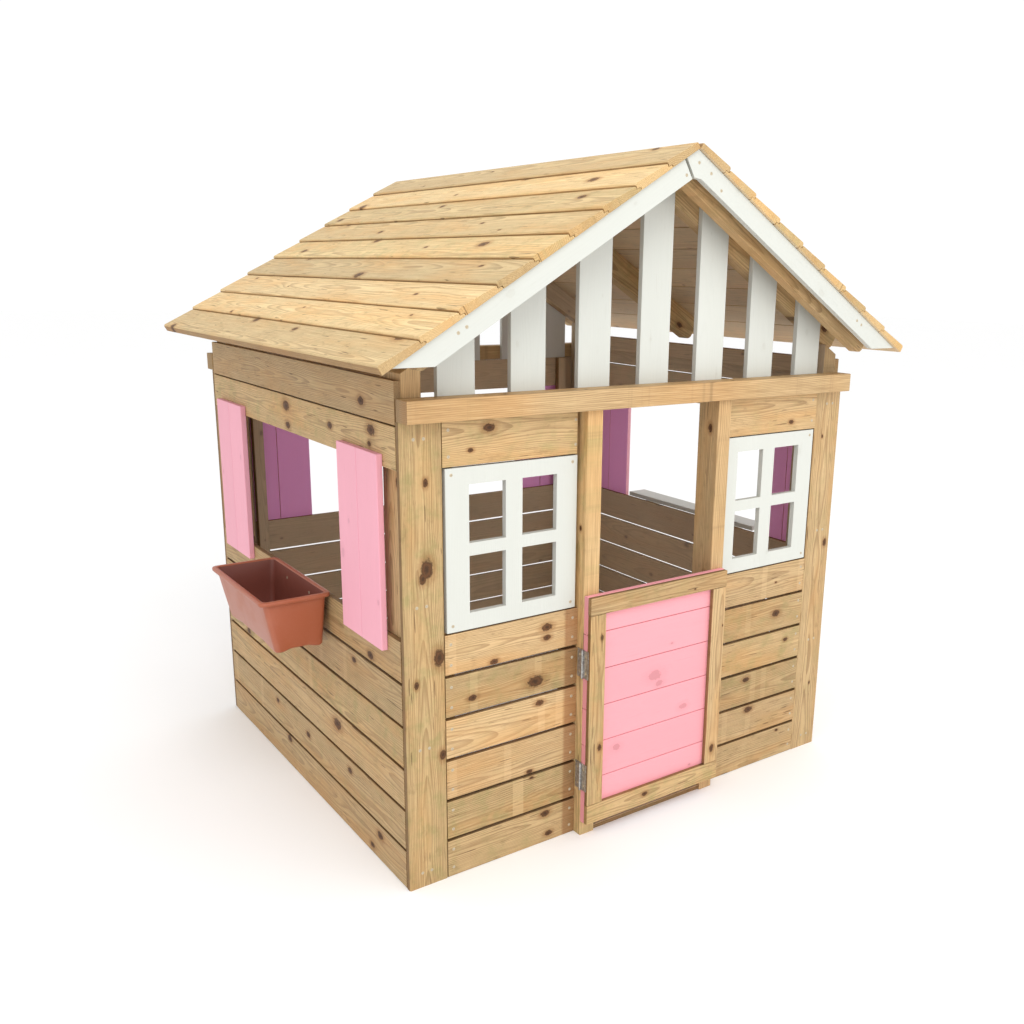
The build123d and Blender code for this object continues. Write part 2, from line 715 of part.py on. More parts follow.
parts["planter"] = drilled(planter(), planter_screws)
parts["planter_screws"] = group(planter_screws)
parts["left_wall_lower_boards"] = drilled(parts["left_wall_lower_boards"], planter_screws)
parts["door_boards"] = drilled(door_boards(), moving_screws)
parts["door_top_rail"] = door_rail(DOOR_TOP - DOOR_TOP_RAIL, DOOR_TOP)
parts["door_bottom_rail"] = door_rail(DOOR_BOTTOM, DOOR_BOTTOM + DOOR_BOTTOM_RAIL)
parts["door_stile_left"] = drilled(door_stile(DOOR_LEFT), moving_screws)
parts["door_stile_right"] = door_stile(door_right - DOOR_STILE)
parts["door_jamb_left"] = drilled(parts["door_jamb_left"], fixed_screws)
parts["hinge_leaves_fixed"] = drilled(group(fixed_leaves), fixed_screws)
parts["hinge_leaves_moving"] = drilled(group(moving_leaves), moving_screws)
parts["hinge_pins"] = group([hinge_pin(bottom) for bottom in HINGE_BOTTOMS])
parts["hinge_screws_fixed"] = group(fixed_screws)
parts["hinge_screws_moving"] = group(moving_screws)


# ---- Screws in the front boards and posts --------------------------------------------------------


def front_board_screws():
    """Two screws at each end of every front board."""
    screws = []
    rows = row_heights(LOWER_ROWS) + top_row
    for left, right in (left_bay, right_bay):
        for low, high in rows:
            for x in (left + EDGE_MARGIN, right - EDGE_MARGIN):
                for z in (low + SCREW_INSET, high - SCREW_INSET):
                    screws.append(screw((x, 0, z), (0, -1, 0)))
    return screws


def post_screws():
    """Pairs of screws that hold the front posts to the studs behind them."""
    screws = []
    for height in (35, 330, 650, 1000):
        for x in (STUD_THICK * 0.7, STUD_THICK * 1.2):
            one = screw((x, 0, height), (0, -1, 0))
            screws += [one, other_side(one)]
    return screws


board_screws = front_board_screws()
corner_screws = post_screws()
for node in ("front_lower_boards_left", "front_lower_boards_right", "front_upper_boards"):
    parts[node] = drilled(parts[node], board_screws)
for node in ("corner_post_front_left", "corner_post_front_right"):
    parts[node] = drilled(parts[node], corner_screws)
parts["front_screws"] = group(
    board_screws + corner_screws + screws_left + screws_right + front_barge_screws
)


# ---- Export, with the origin in the middle of the footprint --------------------------------------

os.makedirs("parts", exist_ok=True)
whole = group(parts.values()).bounding_box()
to_origin = Pos(-(whole.min.X + whole.max.X) / 2, -(whole.min.Y + whole.max.Y) / 2, -whole.min.Z)
for name, shape in parts.items():
    export_step(to_origin * shape, f"parts/{name}.step")
print("origin shift", to_origin.position, "nodes", len(parts))
print("hinge axis", (to_origin * Pos(pin_x, pin_y, 0)).position)
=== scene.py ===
"""Studio scene of the wooden playhouse: every board is dressed with its own grain and knots."""

import json
import math
import random

import bmesh
import bpy
from mathutils import Matrix, Vector, noise

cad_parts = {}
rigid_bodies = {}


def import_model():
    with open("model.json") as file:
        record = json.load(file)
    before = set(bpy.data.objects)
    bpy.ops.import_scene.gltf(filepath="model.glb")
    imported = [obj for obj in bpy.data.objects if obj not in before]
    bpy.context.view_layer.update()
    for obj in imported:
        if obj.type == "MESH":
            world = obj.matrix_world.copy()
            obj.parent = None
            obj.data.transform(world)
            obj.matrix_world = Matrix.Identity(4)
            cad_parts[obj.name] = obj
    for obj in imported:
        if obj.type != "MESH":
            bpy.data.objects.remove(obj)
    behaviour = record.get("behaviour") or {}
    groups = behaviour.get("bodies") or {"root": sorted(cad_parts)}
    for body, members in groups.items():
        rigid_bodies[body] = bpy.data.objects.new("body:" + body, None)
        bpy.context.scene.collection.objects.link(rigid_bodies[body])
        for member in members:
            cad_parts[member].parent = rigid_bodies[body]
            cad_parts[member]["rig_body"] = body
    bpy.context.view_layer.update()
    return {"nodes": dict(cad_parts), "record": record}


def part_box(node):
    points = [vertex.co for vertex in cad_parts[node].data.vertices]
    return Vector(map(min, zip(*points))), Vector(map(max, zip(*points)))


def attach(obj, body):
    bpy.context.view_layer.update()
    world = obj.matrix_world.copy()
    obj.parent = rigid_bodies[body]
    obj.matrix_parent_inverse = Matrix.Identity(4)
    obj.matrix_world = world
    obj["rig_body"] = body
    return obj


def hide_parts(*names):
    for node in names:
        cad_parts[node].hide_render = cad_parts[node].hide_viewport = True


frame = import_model()

bpy.context.scene.view_settings.view_transform = "Standard"

# ---- Shared values, in metres --------------------------------------------------------------------

ROOF_SLOPE = math.radians(31.0)
WELD_DISTANCE = 1e-6
EDGE_SOFTNESS = 0.0012
ROOF_SOFTNESS = 0.0022
SHORTEST_SOFT_EDGE = 0.008  # shorter edges belong to screw holes
CUT_SPACING = 0.11  # between the cross cuts at which a board's width may change
WANDER = 0.0008  # how far a long edge strays inwards
THIN_HALF = 0.012  # half the thickness that parts boards from posts and rails
RING_WIDTH = 0.0030
KNOTS_PER_BOARD = 6
NO_KNOT = (99.0, 99.0, 0.01)  # a knot so far off the board that nothing of it shows
SEED = 7

ACROSS, BACK, UP = Vector((1, 0, 0)), Vector((0, 1, 0)), Vector((0, 0, 1))
DOWN_SLOPE = Vector((math.cos(ROOF_SLOPE), 0, -math.sin(ROOF_SLOPE)))
OUT_OF_SLOPE = Vector((math.sin(ROOF_SLOPE), 0, math.cos(ROOF_SLOPE)))

ridge_x = sum(corner.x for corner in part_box("ridge_board")) / 2
ROOM_MIDDLE = Vector((ridge_x, 0, 0.7))


# ---- Node graphs ---------------------------------------------------------------------------------


class Graph:
    """Short calls for building one material's nodes."""

    INPUTS = {
        "metallic": "Metallic",
        "normal": "Normal",
        "roughness": "Roughness",
        "specular": "Specular IOR Level",
    }

    def __init__(self, name):
        self.material = bpy.data.materials.new(name)
        self.material.use_nodes = True
        self.tree = self.material.node_tree
        self.tree.nodes.clear()
        self.shader = self.tree.nodes.new("ShaderNodeBsdfPrincipled")
        output = self.tree.nodes.new("ShaderNodeOutputMaterial")
        self.tree.links.new(self.shader.outputs[0], output.inputs[0])

    def feed(self, socket, value):
        """Links a socket to another, or sets its value."""
        if isinstance(value, bpy.types.NodeSocket):
            self.tree.links.new(value, socket)
        else:
            socket.default_value = value

    def math(self, operation, *values):
        node = self.tree.nodes.new("ShaderNodeMath")
        node.operation = operation
        for socket, value in zip(node.inputs, values):
            self.feed(socket, value)
        return node.outputs[0]

    def plus(self, first, second):
        return self.math("ADD", first, second)

    def minus(self, first, second):
        return self.math("SUBTRACT", first, second)

    def times(self, first, second):
        return self.math("MULTIPLY", first, second)

    def over(self, first, second):
        return self.math("DIVIDE", first, second)

    def vector(self, x, y, z):
        node = self.tree.nodes.new("ShaderNodeCombineXYZ")
        for socket, value in zip(node.inputs, (x, y, z)):
            self.feed(socket, value)
        return node.outputs[0]

    def length(self, vector):
        node = self.tree.nodes.new("ShaderNodeVectorMath")
        node.operation = "LENGTH"
        self.feed(node.inputs[0], vector)
        return node.outputs["Value"]

    def attribute(self, name, output):
        node = self.tree.nodes.new("ShaderNodeAttribute")
        node.attribute_name = name
        return node.outputs[output]

    def three(self, name):
        """The three numbers of a vector attribute."""
        node = self.tree.nodes.new("ShaderNodeSeparateXYZ")
        self.feed(node.inputs[0], self.attribute(name, "Vector"))
        return node.outputs

    def object_place(self):
        return self.tree.nodes.new("ShaderNodeTexCoord").outputs["Object"]

    def noise(self, vector, scale=1.0, detail=2.0, roughness=0.5):
        node = self.tree.nodes.new("ShaderNodeTexNoise")
        self.feed(node.inputs["Vector"], vector)
        node.inputs["Scale"].default_value = scale
        node.inputs["Detail"].default_value = detail
        node.inputs["Roughness"].default_value = roughness
        return node.outputs["Fac"]

    def ramp(self, value, start, end):
        """0 at start or before it, 1 at end or past it, smooth between; end may be the lower."""
        node = self.tree.nodes.new("ShaderNodeMapRange")
        node.interpolation_type = "SMOOTHSTEP"
        self.feed(node.inputs["Value"], value)
        node.inputs["From Min"].default_value = start
        node.inputs["From Max"].default_value = end
        return node.outputs["Result"]

    def mix(self, share, first, second, blend="MIX"):
        node = self.tree.nodes.new("ShaderNodeMix")
        node.data_type = "RGBA"
        node.blend_type = blend
        self.feed(node.inputs["Factor"], share)
        self.feed(node.inputs["A"], (*first, 1) if isinstance(first, tuple) else first)
        self.feed(node.inputs["B"], (*second, 1) if isinstance(second, tuple) else second)
        return node.outputs["Result"]

    def coats(self, colour, coats):
        """Lays coats over a colour in turn, each given as its share, strength and own colour."""
        for share, strength, coat in coats:
            colour = self.mix(self.times(share, strength), colour, coat)
        return colour

    def bump(self, height, distance, strength):
        node = self.tree.nodes.new("ShaderNodeBump")
        node.inputs["Strength"].default_value = strength
        node.inputs["Distance"].default_value = distance
        self.feed(node.inputs["Height"], height)
        return node.outputs[0]

    def finish(self, colour, **inputs):
        """Feeds the shader's colour and its other inputs, and returns the material."""
        self.feed(self.shader.inputs["Base Color"], colour)
        for name, value in inputs.items():
            self.feed(self.shader.inputs[self.INPUTS[name]], value)
        return self.material


def shaded(colour, *factors):
    """A colour with each part multiplied by its own factor, or all by one."""
    factors = factors * 3 if len(factors) == 1 else factors
    return tuple(part * factor for part, factor in zip(colour, factors))


# ---- Wood ----------------------------------------------------------------------------------------

# Noise cycles a metre, along and across the grain.
SWAY_SCALE, BROAD_SCALE = (2.2, 9.0), (3.4, 16.0)
FIBRE_SCALE, CHECK_SCALE = (9.0, 420.0), (13.0, 190.0)
BOARD_SHIFT = 40.0  # sets one board's noise apart from another's
SWAY = 0.022  # how far the rings stray, in metres
RUNOUT = 0.05  # how fast they drift along a board
KNOT_SQUASH = 0.62  # distance along the grain counts for less, so knots are drawn out along it
KNOT_RAGGED = 1.1  # how far a knot's outline strays, in its radii
NO_KNOT_NEAR = 9.0  # in radii, beyond the reach of any knot
STICKER_EDGE = (0.0105, 0.0085)  # half a pale sticker mark's width, outside and inside its blur
JAMB_SHADE_EDGE = (0.040, 0.030)  # how far the painted shade beside the door jamb reaches in from a board's end
PAINT_SHADE = 0.84


def knot_pattern(graph, along, across):
    """The distance to the nearest knot, in its radii, and across as bent round the knots."""
    nearest = NO_KNOT_NEAR
    bent = across
    for index in range(KNOTS_PER_BOARD):
        knot = graph.three(f"knot{index}")
        from_u = graph.minus(along, knot[0])
        from_v = graph.minus(across, knot[1])
        away = graph.length(graph.vector(graph.times(from_u, KNOT_SQUASH), from_v, 0.0))
        distance = graph.over(away, knot[2])
        nearest = graph.math("MINIMUM", nearest, distance)
        fade = graph.over(1.0, graph.plus(1.0, graph.math("POWER", distance, 2.0)))
        bent = graph.minus(bent, graph.times(from_v, fade))
    return nearest, bent


def timber_pattern(graph):
    """The parts of a board's figure that natural and painted wood share.

    A board's own place along, across and through it comes from its mesh, as do its knots, so no two
    boards look the same.
    """
    along, across, through = graph.three("grain")
    board = graph.three("board")
    pith = graph.three("pith")
    marks = graph.three("marks")
    finish = graph.three("finish")
    shift = graph.times(board[0], BOARD_SHIFT)
    nearest, bent = knot_pattern(graph, along, across)

    def stretched(scale, depth):
        """A place for noise that is drawn out along the grain and follows it round the knots."""
        place = graph.plus(graph.times(along, scale[0]), shift)
        return graph.vector(place, graph.times(bent, scale[1]), depth)

    # Rings: the distance from the pith, swaying and running out of the board along its length.
    sway_place = stretched(SWAY_SCALE, graph.times(through, SWAY_SCALE[1]))
    sway = graph.times(graph.minus(graph.noise(sway_place), 0.5), SWAY)
    runout = graph.times(along, graph.times(graph.minus(board[1], 0.5), RUNOUT))
    from_pith = graph.vector(graph.minus(bent, pith[0]), graph.minus(through, pith[1]), 0.0)
    depth = graph.plus(graph.plus(graph.length(from_pith), sway), runout)
    ring = graph.math("FRACT", graph.over(depth, pith[2]))
    late = graph.times(graph.ramp(ring, 0.35, 0.93), graph.ramp(ring, 1.0, 0.95))

    fibre_place = stretched(FIBRE_SCALE, graph.times(through, FIBRE_SCALE[1]))
    flat_place = graph.vector(along, across, shift)
    short_place = graph.vector(graph.times(along, 0.4), across, shift)
    ragged = graph.times(graph.minus(graph.noise(flat_place, 130.0, 3.0, 0.65), 0.5), KNOT_RAGGED)
    edge = graph.plus(nearest, ragged)
    sticker = 0.0
    for centre in (marks[0], marks[1]):
        beside = graph.math("ABSOLUTE", graph.minus(along, centre))
        sticker = graph.math("MAXIMUM", sticker, graph.ramp(beside, *STICKER_EDGE))
    to_end = graph.minus(finish[0], along)
    return {
        "board": board,
        "late": late,
        "fibre": graph.noise(fibre_place, 1.0, 3.0, 0.6),
        "broad": graph.noise(stretched(BROAD_SCALE, shift)),
        "knot": graph.ramp(edge, 1.06, 0.82),
        "knot_rim": graph.times(graph.ramp(edge, 0.62, 0.95), graph.ramp(edge, 1.25, 1.0)),
        "halo": graph.ramp(edge, 2.6, 0.9),
        "knot_core": graph.ramp(edge, 0.75, 0.15),
        "check": graph.ramp(graph.noise(stretched(CHECK_SCALE, shift), 1.0, 1.0), 0.715, 0.745),
        "cut": graph.attribute("cut", "Fac"),
        "stain": graph.noise(flat_place, 22.0, 3.0, 0.65),
        "grime": graph.noise(short_place, 60.0, 4.0, 0.7),
        "pale": graph.times(sticker, marks[2]),
        "jamb_shade": graph.times(graph.ramp(to_end, *JAMB_SHADE_EDGE), finish[1]),
        "inner": graph.attribute("inner", "Fac"),
        "tone": finish[2],
    }


def natural_wood(name, light, dark, knot, green, roughness):
    """Planed softwood with rings, fibres, knots and a trace of green preservative."""
    graph = Graph(name)
    parts = timber_pattern(graph)
    board = parts["board"]
    bleached = tuple(min(1.0, part * 1.30 + 0.03) for part in light)
    soaked = graph.times(graph.ramp(parts["stain"], 0.42, 0.78), graph.plus(board[2], 0.15))
    heart = graph.mix(parts["knot_core"], shaded(knot, 1.7), shaded(knot, 0.6))
    colour = graph.coats(
        light,
        (
            (parts["late"], 0.58, dark),
            (graph.ramp(parts["broad"], 0.40, 0.72), 0.55, shaded(light, 0.96, 0.74, 0.52)),
            (soaked, 0.60, green),
            (graph.ramp(parts["fibre"], 0.48, 0.78), 0.62, dark),
            (graph.ramp(parts["fibre"], 0.47, 0.24), 0.62, bleached),
            (graph.ramp(parts["grime"], 0.53, 0.80), 0.50, shaded(dark, 0.85, 0.92, 0.95)),
            (parts["pale"], 0.45, bleached),
            # Painted shade at a board's far end, where it meets the door jamb.
            (parts["jamb_shade"], 0.62, shaded(dark, 1.0, 0.72, 0.62)),
            (parts["halo"], 0.58, shaded(dark, 1.05, 0.78, 0.55)),
            (parts["knot"], 0.94, heart),
            (parts["knot_rim"], 0.60, shaded(knot, 0.45)),
            (parts["check"], 0.70, shaded(dark, 0.5)),
        ),
    )
    # Sawn ends darken, and the edges in the gaps between thin natural boards take painted shade.
    colour = graph.mix(graph.times(parts["cut"], 0.38), colour, dark, "MULTIPLY")
    tone = graph.times(graph.plus(0.80, graph.times(board[1], 0.32)), parts["tone"])
    cool = graph.minus(tone, graph.times(board[2], 0.06))
    colour = graph.mix(1.0, colour, graph.vector(tone, tone, cool), "MULTIPLY")
    # Faces that look into the room get painted indoor lighting: a paler, greyer colour.
    indoor_lit = graph.mix(0.50, colour, (0.58, 0.48, 0.37))
    relief = graph.minus(graph.times(parts["late"], 0.6), parts["knot_rim"])
    return graph.finish(
        graph.mix(parts["inner"], colour, indoor_lit),
        roughness=graph.plus(roughness, graph.times(parts["late"], -0.08)),
        specular=0.25,
        normal=graph.bump(graph.plus(relief, graph.times(parts["fibre"], 0.9)), 0.0006, 0.7),
    )


def painted_wood(name, paint, worn, inner, knot_show, roughness):
    """Brushed paint over the same figure: the rings and knots show only faintly."""
    graph = Graph(name)
    parts = timber_pattern(graph)
    shade = shaded(paint, PAINT_SHADE)
    mark = graph.math("MAXIMUM", graph.times(parts["halo"], 0.25), parts["knot"])
    colour = graph.coats(
        paint,
        (
            (parts["broad"], 0.35, shade),
            (graph.ramp(parts["fibre"], 0.5, 0.85), 0.22, shade),
            (parts["late"], 0.10, shade),
            (mark, knot_show, worn),
            (graph.ramp(parts["grime"], 0.58, 0.85), 0.16, worn),
            (parts["cut"], 0.25, worn),
            (parts["check"], 0.12, worn),
        ),
    )
    # Faces that look into the room get their own painted indoor lighting colour.
    colour = graph.mix(parts["inner"], colour, inner)
    tone = graph.plus(0.95, graph.times(parts["board"][1], 0.07))
    relief = graph.plus(graph.times(parts["late"], 0.4), parts["fibre"])
    return graph.finish(
        graph.mix(1.0, colour, graph.vector(tone, tone, tone), "MULTIPLY"),
        roughness=graph.plus(roughness, graph.times(parts["fibre"], 0.12)),
        specular=0.4,
        normal=graph.bump(relief, 0.0004, 0.4),
    )


# ---- Other materials -----------------------------------------------------------------------------


def moulded_plastic():
    """Terracotta planter plastic: satin, slightly dusty, a little paler where it is scuffed, with
    painted shade inside the tub.
    """
    graph = Graph("terracotta_plastic")
    place = graph.object_place()
    clay, dusty, scuffed = (0.385, 0.105, 0.048), (0.47, 0.20, 0.125), (0.62, 0.30, 0.20)
    # Painted shade: the tub's inside faces take this darker colour.
    in_shade = (0.20, 0.058, 0.040)
    dust = graph.ramp(graph.noise(place, 9.0, 4.0, 0.6), 0.45, 0.75)
    fleck = graph.noise(place, 480.0)
    coats = ((dust, 0.28, dusty), (graph.ramp(fleck, 0.6, 0.8), 0.15, scuffed))
    return graph.finish(
        graph.mix(graph.attribute("inside", "Fac"), graph.coats(clay, coats), in_shade),
        roughness=graph.plus(0.36, graph.times(dust, 0.16)),
        normal=graph.bump(fleck, 0.0002, 0.35),
    )


def zinc():
    """Dull plated steel for the hinges, with faint cloudy passivation."""
    graph = Graph("zinc_steel")
    place = graph.object_place()
    cloud = graph.noise(place, 160.0, 3.0)
    return graph.finish(
        graph.mix(graph.ramp(cloud, 0.35, 0.7), (0.36, 0.355, 0.34), (0.56, 0.56, 0.55)),
        metallic=0.85,
        roughness=graph.plus(0.34, graph.times(cloud, 0.25)),
        normal=graph.bump(graph.noise(place, 900.0), 0.0001, 0.3),
    )


def screw_finish():
    """Pale coated screw heads."""
    graph = Graph("screw_finish")
    cloud = graph.noise(graph.object_place(), 240.0)
    return graph.finish(
        graph.mix(cloud, (0.40, 0.33, 0.22), (0.58, 0.50, 0.37)),
        metallic=0.35,
        roughness=graph.plus(0.30, graph.times(cloud, 0.2)),
    )


def studio_floor():
    """Plain pale paper."""
    graph = Graph("studio_floor")
    speck = graph.noise(graph.object_place(), 3.0)
    paper = graph.mix(speck, (0.95, 0.95, 0.948), (0.97, 0.97, 0.968))
    return graph.finish(paper, roughness=0.9, specular=0.1)


MATERIALS = {
    "treated_wood": natural_wood(
        "treated_wood",
        light=(0.565, 0.390, 0.202),
        dark=(0.245, 0.140, 0.060),
        knot=(0.070, 0.027, 0.009),
        green=(0.31, 0.275, 0.11),
        roughness=0.62,
    ),
    "roof_wood": natural_wood(
        "roof_wood",
        light=(0.80, 0.59, 0.31),
        dark=(0.36, 0.21, 0.080),
        knot=(0.13, 0.060, 0.018),
        green=(0.50, 0.42, 0.20),
        roughness=0.60,
    ),
    "white_paint": painted_wood(
        "white_paint",
        paint=(0.605, 0.615, 0.565),
        worn=(0.41, 0.39, 0.32),
        inner=(0.60, 0.60, 0.56),
        knot_show=0.20,
        roughness=0.42,
    ),
    "pink_shutter": painted_wood(
        "pink_shutter",
        paint=(0.86, 0.405, 0.49),
        worn=(0.52, 0.21, 0.27),
        # Painted indoor light: the shutters' faces that look into the room are brighter and more
        # magenta.
        inner=(1.0, 0.43, 0.84),
        knot_show=0.38,
        roughness=0.55,
    ),
    "pink_door": painted_wood(
        "pink_door",
        paint=(0.86, 0.355, 0.395),
        worn=(0.50, 0.20, 0.22),
        # Painted indoor shade: the door's faces that look into the room are darker.
        inner=(0.80, 0.30, 0.40),
        knot_show=0.65,
        roughness=0.55,
    ),
    "terracotta_plastic": moulded_plastic(),
    "zinc_steel": zinc(),
    "screw_finish": screw_finish(),
}
SLOT_OF = {entry["node"]: entry["material_slot"] for entry in frame["record"]["subparts"]}


# ---- Meshes --------------------------------------------------------------------------------------


def new_object(name, mesh, body, material):
    """An object in the scene that rides on a body and fills a material slot."""
    piece = bpy.data.objects.new(name, mesh)
    bpy.context.scene.collection.objects.link(piece)
    mesh.materials.append(material)
    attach(piece, body)
    return piece


def finished_mesh(name, work, sharp_from):
    """A bmesh made into a mesh, smooth but for edges sharper than an angle in degrees."""
    mesh = bpy.data.meshes.new(name)
    work.to_mesh(mesh)
    work.free()
    mesh.shade_smooth()
    mesh.set_sharp_from_angle(angle=math.radians(sharp_from))
    return mesh


def welded(node):
    """The CAD node's mesh as one clean bmesh: shared corners welded, flat faces merged."""
    work = bmesh.new()
    work.from_mesh(frame["nodes"][node].data)
    bmesh.ops.remove_doubles(work, verts=work.verts, dist=WELD_DISTANCE)
    bmesh.ops.dissolve_limit(
        work,
        angle_limit=math.radians(0.5),
        use_dissolve_boundaries=False,
        verts=work.verts,
        edges=work.edges,
    )
    return work


def middle_of(members):
    """The mean place of some vertices."""
    return sum((vertex.co for vertex in members), Vector()) / len(members)


def islands(work):
    """The separate solids of a bmesh, each a list of its vertices, in order of place."""
    seen = set()
    found = []
    for start in work.verts:
        if start in seen:
            continue
        seen.add(start)
        stack, members = [start], []
        while stack:
            vertex = stack.pop()
            members.append(vertex)
            for edge in vertex.link_edges:
                other = edge.other_vert(vertex)
                if other not in seen:
                    seen.add(other)
                    stack.append(other)
        found.append(members)
    found.sort(key=lambda members: tuple(round(part, 4) for part in middle_of(members)))
    return found


# ---- Boards --------------------------------------------------------------------------------------

PITH_DEPTH = (0.01, 0.07)  # how far through a board's face the log's heart may lie
KNOT_SIZES = (0.35, 0.5, 0.75, 1.0, 1.25)
KNOT_CLEARANCE = 2.2  # of a knot's radius, kept from a thick member's edge
GAP_SHADE = 1.7  # painted shade on the edges in the gaps between boards, as dark as this where a sawn end is 1
DRIFT_SCALE, DRIFT_APART, DRIFT_GAIN = 3.1, 7.3, 1.6
SOFTENED_FROM = math.radians(35)  # edges at a flatter angle are left as they are

# Cosines above which a face counts as a member's end, an end or edge of a board, one of its broad
# sides, and turned to the room's middle.
MEMBER_END, BOARD_SIDE, BROAD_SIDE, LOOKS_IN = 0.98, 0.9, 0.7, 0.12


def soften(work, lengthwise, softness):
    """Rounds the sharp edges a little, leaving the screw holes alone."""
    edges = []
    for edge in work.edges:
        if len(edge.link_faces) != 2 or edge.calc_face_angle() < SOFTENED_FROM:
            continue
        on_end = any(abs(face.normal.dot(lengthwise)) > MEMBER_END for face in edge.link_faces)
        if on_end or edge.calc_length() > SHORTEST_SOFT_EDGE:
            edges.append(edge)
    bmesh.ops.bevel(
        work,
        geom=edges,
        offset=softness,
        offset_type="OFFSET",
        segments=2,
        profile=0.5,
        affect="EDGES",
        clamp_overlap=True,
    )


def cut_across(work, lengthwise):
    """Cuts boards across at even steps, so that their edges have points that can wander."""
    spans = [vertex.co.dot(lengthwise) for vertex in work.verts]
    place = min(spans) + CUT_SPACING
    while place < max(spans) - CUT_SPACING / 2:
        bmesh.ops.bisect_plane(
            work,
            geom=work.verts[:] + work.edges[:] + work.faces[:],
            dist=WELD_DISTANCE,
            plane_co=lengthwise * place,
            plane_no=lengthwise,
        )
        place += CUT_SPACING


def axes_for(kind, centre):
    """Along, across and through directions for a member at a place.

    The kinds x, y and z run along that axis, slope runs down the roof and roof lies across it.
    """
    side = 1 if centre.x > ridge_x else -1
    down = Vector((DOWN_SLOPE.x * side, 0, DOWN_SLOPE.z))
    normal = Vector((OUT_OF_SLOPE.x * side, 0, OUT_OF_SLOPE.z))
    return {
        "x": (ACROSS, UP, BACK),
        "y": (BACK, UP, ACROSS),
        "z": (UP, ACROSS, BACK),
        "slope": (down, normal, BACK),
        "roof": (BACK, down, normal),
    }[kind]


def board_frame(members, kind):
    """A board's three directions, wider way second, with its lowest and highest place on each."""
    axes = list(axes_for(kind, middle_of(members)))
    low = [min(vertex.co.dot(axis) for vertex in members) for axis in axes]
    high = [max(vertex.co.dot(axis) for vertex in members) for axis in axes]
    if high[1] - low[1] < high[2] - low[2]:
        for values in (axes, low, high):
            values[1], values[2] = values[2], values[1]
    return axes, low, high


def draw_knots(dice, half, size, spacing):
    """Places for a board's knots: along, across and radius. A thick member's stay off its edges."""
    count = round(2 * half[0] / spacing + dice.uniform(-0.6, 0.6))
    count = min(KNOTS_PER_BOARD, max(1, count))
    knots = []
    for index in range(count):
        span = 2 * half[0] / count
        place = -half[0] + span * (index + dice.uniform(0.15, 0.85))
        radius = size * dice.choice(KNOT_SIZES)
        inset = max(0.0, half[1] - KNOT_CLEARANCE * radius)
        reach = inset if half[2] > THIN_HALF else 0.9 * half[1]
        knots.append((place, dice.uniform(-1, 1) * reach, radius))
    return knots


def knots_on(placed, low, high):
    """The listed knots that fall on a board, measured from its middle."""
    return [
        (u - (low[0] + high[0]) / 2, v - (low[1] + high[1]) / 2, radius)
        for u, v, radius in placed
        if low[0] <= u <= high[0] and low[1] <= v <= high[1]
    ]


def edge_drift(place, side, seed):
    """How far a long edge strays at a place along it, as a share of the most it may."""
    spot = Vector((place * DRIFT_SCALE + seed, side * DRIFT_APART, 0.0))
    return abs(noise.noise(spot)) * DRIFT_GAIN


def shade_faces(faces, axes, cut, inner, end_shade, gap_shade, indoor_light_share):
    """Marks the faces that are sawn ends, those in the gaps between boards, which take painted
    shade, and those that look into the room, which take painted indoor lighting.
    """
    along, across, through = axes
    for face in faces:
        on_end = abs(face.normal.dot(along)) > BOARD_SIDE
        on_gap = abs(face.normal.dot(across)) > BOARD_SIDE
        face[cut] = end_shade if on_end else gap_shade if on_gap else 0.0
        inward = ROOM_MIDDLE - face.calc_center_median()
        facing = face.normal.dot(inward.normalized())
        looks_in = facing > LOOKS_IN and abs(face.normal.dot(through)) > BROAD_SIDE
        face[inner] = indoor_light_share if looks_in else 0.0


